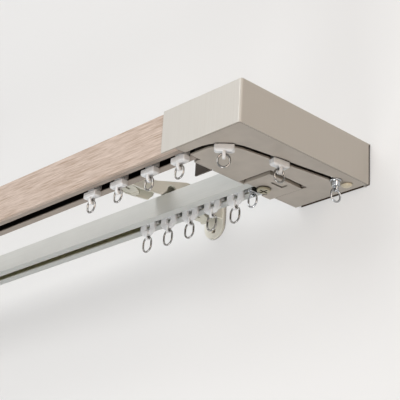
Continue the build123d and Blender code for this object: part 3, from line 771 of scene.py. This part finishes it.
def eye(
    top: float, half: float, foot: float, hole: float, thickness: float, radius: float
) -> Patch:
    """Stem across the track whose foot holds a round hole at the origin.

    The rim runs straight up both sides to the top and round below as half an ellipse.

    Args:
        top: height of the stem above the hole's middle.
        half: half the stem's width.
        foot: lowest point below the hole's middle.
        hole: hole's radius.
        thickness: of the stem.
        radius: of its edges.

    Returns:
        The stem as a closed patch.
    """
    angle = np.arange(EYE_SPOKES) * 2 * np.pi / EYE_SPOKES
    c, s = np.cos(angle), np.sin(angle)
    below = 1 / np.sqrt((c / half) ** 2 + (s / foot) ** 2)
    above = np.minimum(half / np.maximum(abs(c), LEAST), top / np.maximum(s, LEAST))
    reach = np.where(s > 0, above, below)
    inner = hole * np.stack([c, s], -1)
    return holed_plate(inner, reach[:, None] * np.stack([c, s], -1), thickness, radius)


# Rings, runners and hooks

@dataclass
class CurtainRings:
    """Plated wire rings: one on every runner and every fixed hook."""

    front_size: Pair = (9.9, 11.3)
    rear_size: Pair = (10.8, 13.8)
    wire_radius: float = 0.75

    def hang(self, node: str, place: Place, size: Pair, finish: Finish, slot: Slot) -> None:
        """Hangs one ring of a width and height in its eye, in place of its node."""
        loop = wire_loop(*size, self.wire_radius)
        make_piece(node, "_wire", [loop], place, finish)


@dataclass
class RunnerShape:
    """One kind of moulded runner: head, neck, hood and stem, sizes as length, width, height.

    The hood narrows below its shoulder to the foot. A split runs down from the head's
    middle to its drop below the rail, and the hood starts there.
    """

    head: Triple
    neck: Pair
    hood: Triple
    shoulder: float
    foot: float
    eye_z: float
    split: float = 0.0
    split_drop: float = 0.0
    stem_half: float = 2.0
    stem_foot: float = 2.2
    stem_thickness: float = 2.4
    stem_edge: float = 0.35
    eye_radius: float = 1.2
    head_edge: float = 1.0
    neck_edge: float = 0.5
    neck_rise: float = 1.0
    neck_lap: float = 0.8
    hood_edge: float = 0.7
    hood_rows: int = 5
    hood_taper: float = 0.7
    least_shoulder: float = 0.8
    shoulder_bend: float = 0.05  # height over which the shoulder turns
    gap: float = 0.3

    @property
    def hood_drop(self) -> float:
        """How far the hood's top lies below the rail's underside."""
        return max(self.gap, self.split_drop)

    def patches(self) -> list[Patch]:
        """The runner's surfaces about its middle, on the rail's underside."""
        low = RAIL_FLOOR + self.gap
        neck_low, neck_top = -self.hood_drop - self.neck_lap, low + self.neck_rise
        neck_length, neck_width = self.neck
        middles = [0.0]
        if self.split:
            neck_length = (neck_length - self.split) / 2
            reach = (neck_length + self.split) / 2
            middles = [-reach, reach]
        neck = rounded_block((neck_length, neck_width, neck_top - neck_low), self.neck_edge)
        eye_height = self.eye_z - BOTTOM_Z
        stem = eye(
            -self.gap - self.hood[2] / 2 - eye_height, self.stem_half, self.stem_foot,
            self.eye_radius, self.stem_thickness, self.stem_edge,
        )
        return [
            rounded_block(self.head, self.head_edge).shifted(low + self.head[2] / 2),
            *(neck.shifted((neck_low + neck_top) / 2, x) for x in middles),
            self.hood_patch(),
            stem.shifted(eye_height),
        ]

    def hood_patch(self) -> Patch:
        """Hood: a rounded block whose length narrows below the shoulder to the foot."""
        sunk = self.hood_drop - self.gap
        length, width, height = self.hood
        height -= sunk
        ramp_z = height / 2 - max(self.shoulder - sunk, self.least_shoulder)
        rows = np.linspace(-height / 2 + self.least_shoulder, ramp_z, self.hood_rows)
        levels = (*rows.tolist(), ramp_z + self.shoulder_bend)
        block = rounded_block((length, width, height), self.hood_edge, levels=levels)

        def tapered(points: Array) -> Array:
            """Scales X by the hood's outline and Y by a light taper."""
            heights = [-height / 2, ramp_z, height / 2]
            along = np.interp(points[..., 2], heights, [self.foot / length, 1.0, 1.0])
            across = np.interp(points[..., 2], heights, [self.hood_taper, 1.0, 1.0])
            return points * np.stack([along, across, np.ones_like(along)], -1)

        return block.moved(tapered).shifted(-self.hood_drop - height / 2)


FRONT_RUNNER = RunnerShape(
    head=(9.0, 10.6, 6.0), neck=(7.0, 4.0), hood=(14.0, 6.0, 5.3), shoulder=4.0, foot=11.5,
    eye_z=FRONT_EYE_Z, stem_half=2.4, stem_foot=4.0,
)
REAR_RUNNER = RunnerShape(
    head=(17.6, 14.0, 6.0), neck=(17.6, 2.0), hood=(17.6, 2.0, 7.8), shoulder=3.0, foot=9.0,
    eye_z=REAR_EYE_Z, split=5.0, split_drop=3.4,
)


@dataclass
class Runners:
    """The front and rear runners, each replacing its faceted node."""

    front_insets: tuple[float, ...] = (168.2, 137.1, 102.6, 70.8)
    rear_insets: tuple[float, ...] = (187.4, 162.9, 138.4, 113.9, 89.0)
    bend_angle: float = 43.0
    slant_distance: float = 29.0
    rings: CurtainRings = field(default_factory=CurtainRings)

    def places(self) -> list[Place]:
        """Front runners' places: on the straight, on the bend and on the slanted stretch."""
        return [
            *(Place(END_X - inset, FRONT_SLOT_Y, BOTTOM_Z) for inset in self.front_insets),
            Place(*bend_point(self.bend_angle), BOTTOM_Z, self.bend_angle),
            Place(*slant_point(self.slant_distance), BOTTOM_Z, BEND_TURN),
        ]

    def build(self) -> None:
        """Makes every runner and its ring."""
        for number, place in enumerate(self.places(), 1):
            self.one("front", number, place, FRONT_RUNNER, self.rings.front_size)
        for number, inset in enumerate(self.rear_insets, 1):
            place = Place(END_X - inset, REAR_SLOT_Y, BOTTOM_Z)
            self.one("rear", number, place, REAR_RUNNER, self.rings.rear_size)

    def one(self, kind: str, number: int, place: Place, shape: RunnerShape, size: Pair) -> None:
        """Makes one runner under the rail, with a ring of a width and height."""
        node, ring = f"{kind}_runner_{number}", f"{kind}_ring_{number}"
        make_piece(node, "_moulding", shape.patches(), place, NATURAL_NYLON)
        self.rings.hang(ring, place.at(shape.eye_z), size, WIRE_PLATE, Slot.RING_STEEL)


def bend_point(angle: float) -> Pair:
    """Place on the bend's middle line where it has turned by an angle in degrees."""
    turned = np.radians(angle)
    return (
        BEND_CENTRE[0] + BEND_RADIUS * float(np.sin(turned)),
        BEND_CENTRE[1] - BEND_RADIUS * float(np.cos(turned)),
    )


def slant_point(distance: float) -> Pair:
    """Place on the slanted stretch at a distance past the bend."""
    x, y = bend_point(BEND_TURN)
    turned = np.radians(BEND_TURN)
    return (x + distance * float(np.cos(turned)), y + distance * float(np.sin(turned)))


@dataclass
class EndHooks:
    """Bright fixed hooks at the slots' ends, with their rings."""

    from_wall: float = 22.0
    rear_inset: float = 71.2
    axis: float = 0.3  # radius at which a turned profile starts and ends
    flange_radius: float = 4.5
    flange_edge: float = 0.4
    flange_height: float = 1.0
    bell_radius: float = 3.9
    bell_step: float = 0.3  # how far the bell spreads at the flange
    bell_edge: float = 0.7
    bell_drop: float = 0.9
    waist_step: float = 0.35
    waist_drop: float = 2.2
    bell_foot: float = 3.1
    bell_foot_edge: float = 0.6
    bell_height: float = 4.0
    stud_radius: float = 1.45
    stud_chamfer: float = 0.25
    nut_radius: float = 3.9
    nut_bore: float = 0.5
    nut_chamfer: float = 0.2
    nut: float = 1.6
    front_stem: float = 5.6
    rear_stem: float = 3.0
    rings: CurtainRings = field(default_factory=CurtainRings)

    def loop(self, stem: float, eye_z: float) -> Patch:
        """Looped eye on a stem of a height above the hole's middle."""
        loop = eye(stem, half=2.3, foot=2.2, hole=1.4, thickness=2.2, radius=0.7)
        return loop.shifted(eye_z - BOTTOM_Z)

    def front_patches(self) -> list[Patch]:
        """Domed flange, bell, looped eye, stud and nut about the slot's end."""
        rim, under = self.flange_edge, -self.flange_height
        low, top = under - self.bell_height, RAIL_FLOOR + self.nut
        edge, foot = self.bell_edge, self.bell_foot_edge
        dome = [
            (self.axis, 0.0),
            (self.flange_radius - rim, 0.0),
            *arc((self.flange_radius - rim, -rim), rim, 90, -60, steps=6),
            (self.bell_radius + self.bell_step, under),
            *arc((self.bell_radius - edge, under - self.bell_drop), edge, 40, 0, steps=4),
            (self.bell_foot + self.waist_step, under - self.waist_drop),
            *arc((self.bell_foot - foot, low + foot), foot, 0, -90, steps=5),
            (self.axis, low),
        ]
        radius, cut = self.stud_radius, self.stud_chamfer
        stud = [
            (self.axis, -self.axis),
            (radius, -self.axis),
            (radius, top - cut),
            (radius - cut, top),
            (self.axis, top),
        ]
        radius, cut = self.nut_radius, self.nut_chamfer
        nut = [
            (self.nut_bore, RAIL_FLOOR),
            (radius - cut, RAIL_FLOOR),
            (radius, RAIL_FLOOR + cut),
            (radius, top - cut),
            (radius - cut, top),
            (self.nut_bore, top),
        ]
        turned = [lathe(profile, sides) for profile, sides in ((dome, 44), (stud, 20), (nut, 6))]
        return [*turned, self.loop(self.front_stem, FRONT_EYE_Z)]

    def rear_patches(self) -> list[Patch]:
        """Plate inside the rail, neck through the slot, saddle under it and looped eye."""
        parts = [  # size, edge radius and middle's height
            ((4.0, 14.0, 2.0), 0.4, 2.2),
            ((3.8, 6.5, 2.8), 0.3, 0.9),
            ((4.0, 8.0, 2.8), 0.9, -1.4),
        ]
        blocks = [rounded_block(size, radius).shifted(z) for size, radius, z in parts]
        return [*blocks, self.loop(self.rear_stem, REAR_HOOK_EYE_Z)]

    def build(self) -> None:
        """Makes the four hooks and hangs a ring in each."""
        slant = float(np.sin(np.radians(BEND_TURN)))  # towards the wall, per millimetre
        distance = (-self.from_wall - bend_point(BEND_TURN)[1]) / slant
        front = Place(*slant_point(distance), BOTTOM_Z, BEND_TURN)
        rear = Place(END_X - self.rear_inset, REAR_SLOT_Y, BOTTOM_Z)
        hooks = (
            ("front", front, self.front_patches(), FRONT_EYE_Z),
            ("rear", rear, self.rear_patches(), REAR_HOOK_EYE_Z),
        )
        size, finish, slot = self.rings.front_size, BRIGHT_PLATE, Slot.BRIGHT_STEEL
        for kind, right, patches, eye_z in hooks:
            for side, place in (("right", right), ("left", right.mirrored())):
                make_piece(f"{side}_{kind}_end_hook", "_plated", patches, place, finish)
                self.rings.hang(f"{side}_{kind}_end_ring", place.at(eye_z), size, finish, slot)


# Rails, caps and brackets

@dataclass
class Rails:
    """The two slotted rails and the wood-faced strip, as the solids have them."""

    def dress(self) -> None:
        """Gives each its finish."""
        OAK_FOIL.put_on("front_fascia")
        ANODISED.put_on("front_rail")
        WHITE_COAT.put_on("rear_rail")


@dataclass
class EndCaps:
    """Both end caps: housing, base, cover, guide, olive-beige screw and cream button."""

    screw_inset: float = 63.6
    screw_from_wall: float = 44.3
    screw_radius: float = 5.0
    screw_height: float = 1.8
    screw_edge: float = 0.45
    screw_hub: float = 0.02
    screw_rows: int = 40
    collar_radius: float = 3.2
    collar_height: float = 0.8
    collar_lap: float = 0.2
    shank_radius: float = 1.7
    tip_radius: float = 1.3
    recess_width: float = 1.3
    recess_depth: float = 1.3
    recess_reach: float = 3.5
    recess_ease: float = 0.1
    button_inset: float = 12.0
    button_from_wall: float = 11.5
    button_length: float = 8.8
    button_width: float = 7.2
    button_height: float = 2.2
    button_fullness: float = 0.6  # powers of the superellipse, outward and downward
    button_flatness: float = 0.9
    button_hub: float = 0.01
    button_shank: float = 3.6
    button_shank_edge: float = 0.3
    shank: float = 5.0

    def screw_patches(self) -> list[Patch]:
        """Disc head with a crossed recess, and its shank.

        The head's face is a polar grid. Its depth is the recess where a point lies within
        half the width of either arm, eased over a tenth of a millimetre.
        """
        edge, radius = self.screw_edge, self.screw_radius
        turn = np.linspace(0, np.pi / 2, 6)[1:]
        flat = np.linspace(self.screw_hub, radius - edge, self.screw_rows)
        steps = np.concatenate([flat, radius - edge + edge * np.sin(turn), [radius]])
        low = -self.collar_height - self.screw_height
        rise = np.concatenate([np.zeros(len(flat)), edge * (1 - np.cos(turn))])
        face = circles(steps, np.append(low + rise, -self.collar_height), SCREW_SPOKES)
        x, y = face[:-1, :, 0], face[:-1, :, 1]

        def arm(across: Array, along: Array) -> Array:
            """Share of the recess's depth for one arm of the cross."""
            half = self.recess_width / 2
            wide = np.clip((half - abs(across)) / self.recess_ease + 0.5, 0, 1)
            far = np.clip((self.recess_reach - abs(along)) / self.recess_ease + 0.5, 0, 1)
            return wide * far

        face[:-1, :, 2] += self.recess_depth * np.maximum(arm(x, y), arm(y, x))
        collar = [
            (self.collar_radius, -self.collar_height - self.collar_lap),
            (self.collar_radius, 0.0),
            (self.shank_radius, 0.0),
            (self.shank_radius, self.shank - (self.shank_radius - self.tip_radius)),
            (self.tip_radius, self.shank),
        ]
        return [Patch(face), lathe(collar, 40)]

    def button_patches(self) -> list[Patch]:
        """Low oval dome on a square snap shank.

        The dome is a quarter superellipse turned about Z and stretched along X.
        """
        slope = np.linspace(0, np.pi / 2, 14)
        out = np.maximum(np.sin(slope) ** self.button_fullness, self.button_hub)
        drop = np.cos(slope) ** self.button_flatness
        oval = np.array([self.button_length / 2, self.button_width / 2, self.button_height])
        dome = lathe(list(zip(out, -drop)), 48).moved(lambda points: points * oval)
        size = (self.button_shank, self.button_shank, self.shank)
        post = rounded_block(size, self.button_shank_edge, 3)
        return [dome, post.shifted(self.shank / 2)]

    def build(self) -> None:
        """Dresses the mouldings and makes the screws and buttons."""
        screw = Place(END_X - self.screw_inset, -self.screw_from_wall, BOTTOM_Z)
        button = Place(END_X - self.button_inset, -self.button_from_wall, BOTTOM_Z)
        small = (
            ("_clamp_screw", screw, self.screw_patches(), OLIVE_PLASTIC),
            ("_hook_button", button, self.button_patches(), CREAM_PLASTIC),
        )
        for side in ("right", "left"):
            CAP_SKIN.put_on(side + "_cap_shell")
            BASE_PLASTIC.put_on(side + "_cap_base", side + "_joint_cover")
            GUIDE_PLASTIC.put_on(side + "_return_track")
            for kind, place, patches, finish in small:
                here = place if side == "right" else place.mirrored()
                make_piece(side + kind, "_moulding", patches, here, finish)


@dataclass
class Brackets:
    """The three wall brackets with their lock levers and pins."""

    sides: tuple[str, ...] = ("left", "centre", "right")

    def build(self) -> None:
        """Dresses plates, arms, levers and pins."""
        for side in self.sides:
            CREAM_ENAMEL.put_on(side + "_bracket_plate", side + "_bracket_arm")
            LEVER_PLASTIC.put_on(side + "_front_lever", side + "_rear_lever")
        PIN_PLATE.put_on("lever_pins")


# Room, light and camera

@dataclass(frozen=True)
class Lamp:
    """Soft lamp: place, aim, width and height in metres, power in watts, sRGB hex."""

    name: str
    place: Triple
    aim: Triple
    size: Pair
    power: float
    colour: str = "#ffffff"

    def build(self) -> None:
        """Adds the lamp, turned to its aim."""
        data = bpy.data.lights.new(self.name, "AREA")
        data.shape = "RECTANGLE"
        data.size, data.size_y, data.energy = *self.size, self.power
        data.color = linear(self.colour)[:3]
        lamp = new_object(self.name, data)
        lamp.location = self.place
        lamp.rotation_mode = "QUATERNION"
        way = Vector(self.aim) - Vector(self.place)
        lamp.rotation_quaternion = way.to_track_quat("-Z", "Y")


CAP_AIM = (0.3, -0.08, -0.04)
LAMPS = (
    Lamp("key_softbox", (-0.3, -2.6, 1.5), CAP_AIM, (1.6, 1.6), 39.5),
    Lamp("low_softbox", (0.3, -0.7, -1.5), CAP_AIM, (0.8, 0.8), 13.0),
    Lamp("side_strip", (2.4, -1.05, 0.0), CAP_AIM, (0.3, 1.8), 23.5, "#ffe9d6"),
    Lamp("far_strip", (-1.6, -1.6, -0.4), CAP_AIM, (0.3, 1.6), 5.0),
    Lamp("back_softbox", (-0.8, 2.8, 0.5), (0.0, 0.0, 0.0), (2.0, 2.0), 55.0),
)


@dataclass
class Studio:
    """Plain pale wall and floor, soft light, and the camera of the photograph.

    The wall stands a hair behind the plates, so that backs in its plane show from behind.
    The cover fields are where the shade behind a cap begins and where it is full, in
    millimetres in from the track's end or up from the cap's foot.
    """

    wall_colour: str = "#ebebea"
    floor_colour: str = "#e4e4e2"
    dull_colour: str = "#757471"
    even_colour: str = "#eeeeee"
    even_share: float = 0.48
    contact_mm: float = 4.0
    # colour of the painted contact shadow and of the painted shade behind the caps
    contact_shadow_colour: str = "#4a3d33"
    cover_inner: Pair = (67.0, 66.5)
    cover_outer: Pair = (0.2, 0.6)
    cover_foot: Pair = (0.0, 0.3)
    cover_top: Pair = (32.8, 32.4)
    half: float = 6.0
    floor_z: float = -2.4
    wall_y: float = 0.0003
    camera_place: Triple = (1.018627, -0.639614, -0.385753)
    azimuth: float = 47.547
    elevation: float = -22.979
    roll: float = -3.327
    focal_pixels: float = 1235.762
    frame_pixels: float = 400.0
    sensor_mm: float = 36.0
    sky: float = 0.4
    seen_sky: float = 0.7

    def seen(self, tree: Tree) -> Socket:
        """1 for what the camera sees directly or in metal and plastic, 0 for other rays."""
        path = add_node(tree, "LightPath").outputs
        direct = calculate(tree, "MAXIMUM", path["Is Camera Ray"], path["Is Glossy Ray"])
        return calculate(tree, "MAXIMUM", direct, path["Is Transmission Ray"])

    def covered(self, tree: Tree) -> Socket:
        """Share of lying behind a cap, where the wall is painted in shade."""
        axes = position(tree)
        end = calculate(tree, "ABSOLUTE", axes["X"])
        insets, heights = (self.cover_inner, self.cover_outer), (self.cover_foot, self.cover_top)
        return inside(tree, [
            *((end, END_X - none, END_X - full) for none, full in insets),
            *((axes["Z"], BOTTOM_Z + none, BOTTOM_Z + full) for none, full in heights),
        ])

    def backdrop_material(self, name: str, colour: str) -> Material:
        """Matt paint that is clear from behind, so that it hides nothing in other views.

        To the camera, and in metal and plastic, part of it shows as even pale paint, and
        the rest takes the light and the object's shadow. To other rays it is a duller paint.
        Where something stands close, and behind the caps, the even part fades and the paint
        turns to the dark contact colour, a painted shadow, so that the narrow gaps there stay
        dark.

        Args:
            name: material name.
            colour: sRGB hex.

        Returns:
            The material.
        """
        material = bpy.data.materials.new(name)
        tree = empty_tree(material)
        seen = self.seen(tree)
        tone = mix(tree, seen, linear(self.dull_colour), linear(colour))
        # painted shadow: behind the caps and where something stands close, the wall turns to the
        # dark contact colour and loses its even part
        uncovered = calculate(tree, "SUBTRACT", 1.0, self.covered(tree))
        near = openness(tree, self.contact_mm, closed=0.42, free=0.72)
        free = calculate(tree, "MULTIPLY", near, uncovered)
        share = calculate(tree, "MULTIPLY", seen, self.even_share)
        even_share = calculate(tree, "MULTIPLY", share, free)
        shaded = mix(tree, free, linear(self.contact_shadow_colour), tone)
        lit = add_node(tree, "BsdfDiffuse", {"Color": shaded}).outputs[0]
        even = add_node(tree, "Emission", {"Color": linear(self.even_colour)}).outputs[0]
        paint = add_node(tree, "MixShader", {0: even_share, 1: lit, 2: even}).outputs[0]
        clear = add_node(tree, "BsdfTransparent").outputs[0]
        back = add_node(tree, "NewGeometry").outputs["Backfacing"]
        shadow = add_node(tree, "LightPath").outputs["Is Shadow Ray"]
        either = calculate(tree, "MAXIMUM", back, shadow)
        mixed = add_node(tree, "MixShader", {0: either, 1: paint, 2: clear}).outputs[0]
        add_node(tree, "OutputMaterial", {"Surface": mixed})
        return material

    def plane(self, name: str, corners: list[Triple], colour: str) -> None:
        """Adds one flat stage surface from its four corners."""
        mesh = bpy.data.meshes.new(name)
        mesh.from_pydata(corners, [], [(0, 1, 2, 3)])
        mesh.materials.append(self.backdrop_material(name + "_matt_paint", colour))
        new_object(name, mesh)

    def camera(self) -> None:
        """Adds the camera at the photograph's place, turned as fitted to its edges."""
        az, el, roll = np.radians([self.azimuth, self.elevation, self.roll])
        back = np.array([np.sin(az) * np.cos(el), -np.cos(az) * np.cos(el), np.sin(el)])
        right = np.cross(-back, [0.0, 0.0, 1.0])
        right /= np.linalg.norm(right)
        down = np.cross(-back, right)
        across = np.cos(roll) * right + np.sin(roll) * down
        upward = -(np.cos(roll) * down - np.sin(roll) * right)
        data = bpy.data.cameras.new("photo_camera")
        data.sensor_width = self.sensor_mm
        data.lens = self.focal_pixels / self.frame_pixels * self.sensor_mm
        data.clip_start, data.clip_end = 0.02, 50.0
        camera = new_object("photo_camera", data)
        turn = Matrix(np.stack([across, upward, back], 1).tolist()).to_4x4()
        camera.matrix_world = Matrix.Translation(self.camera_place) @ turn
        bpy.context.scene.camera = camera

    def world(self) -> None:
        """Lights from all round with one grey, which is seen and mirrored paler."""
        world = bpy.data.worlds.new("studio_world")
        tree = empty_tree(world)
        strength = remap(tree, self.seen(tree), 0.0, 1.0, self.sky, self.seen_sky)
        inputs = {"Color": linear("#ffffff"), "Strength": strength}
        sky = add_node(tree, "Background", inputs)
        add_node(tree, "OutputWorld", {"Surface": sky.outputs[0]})
        bpy.context.scene.world = world

    def build(self) -> None:
        """Makes wall, floor, lamps, world and camera."""
        h, y, z = self.half, self.wall_y, self.floor_z
        wall = [(-h, y, z), (h, y, z), (h, y, h), (-h, y, h)]
        floor = [(-h, -h, z), (h, -h, z), (h, y, z), (-h, y, z)]
        self.plane("studio_wall", wall, self.wall_colour)
        self.plane("studio_floor", floor, self.floor_colour)
        for lamp in LAMPS:
            lamp.build()
        self.world()
        self.camera()
        bpy.context.scene.view_settings.view_transform = "Standard"


def main() -> None:
    """Builds and dresses every sub-assembly in order."""
    logging.basicConfig(level=logging.INFO, format="%(name)s %(message)s")
    Studio().build()
    Rails().dress()
    EndCaps().build()
    EndHooks().build()
    Runners().build()
    Brackets().build()


if __name__ == "__main__":
    main()
